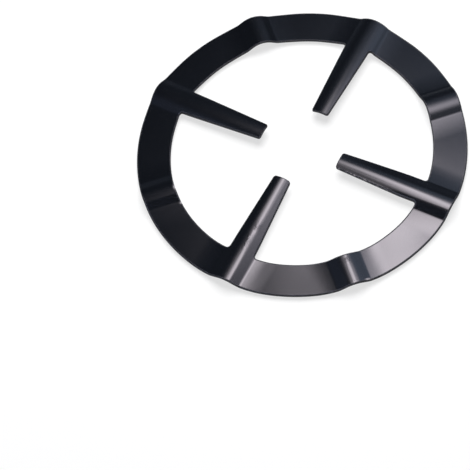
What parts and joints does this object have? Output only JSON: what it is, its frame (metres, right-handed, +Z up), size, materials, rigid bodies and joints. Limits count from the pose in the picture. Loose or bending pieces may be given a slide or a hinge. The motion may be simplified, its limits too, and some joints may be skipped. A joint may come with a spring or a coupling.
{
  "type": "gas hob reducer ring",
  "caption": "Flat ring of enamelled steel sheet with radial ridges, whose prongs run inward to hold a small pot over a gas burner.",
  "frame": {"origin": "on the ring's axis, in the plane of the sectors' flat underside", "axes": "+Z up along the ring's axis, +X out along one of the four prongs"},
  "size_m": [0.1406, 0.1406, 0.0046],
  "materials": {
    "enamelled_sheet": "gloss blue-black vitreous enamel over steel sheet"
  },
  "bodies": {
    "root": {"reducer_ring": "enamelled_sheet"}
  },
  "joints": []
}
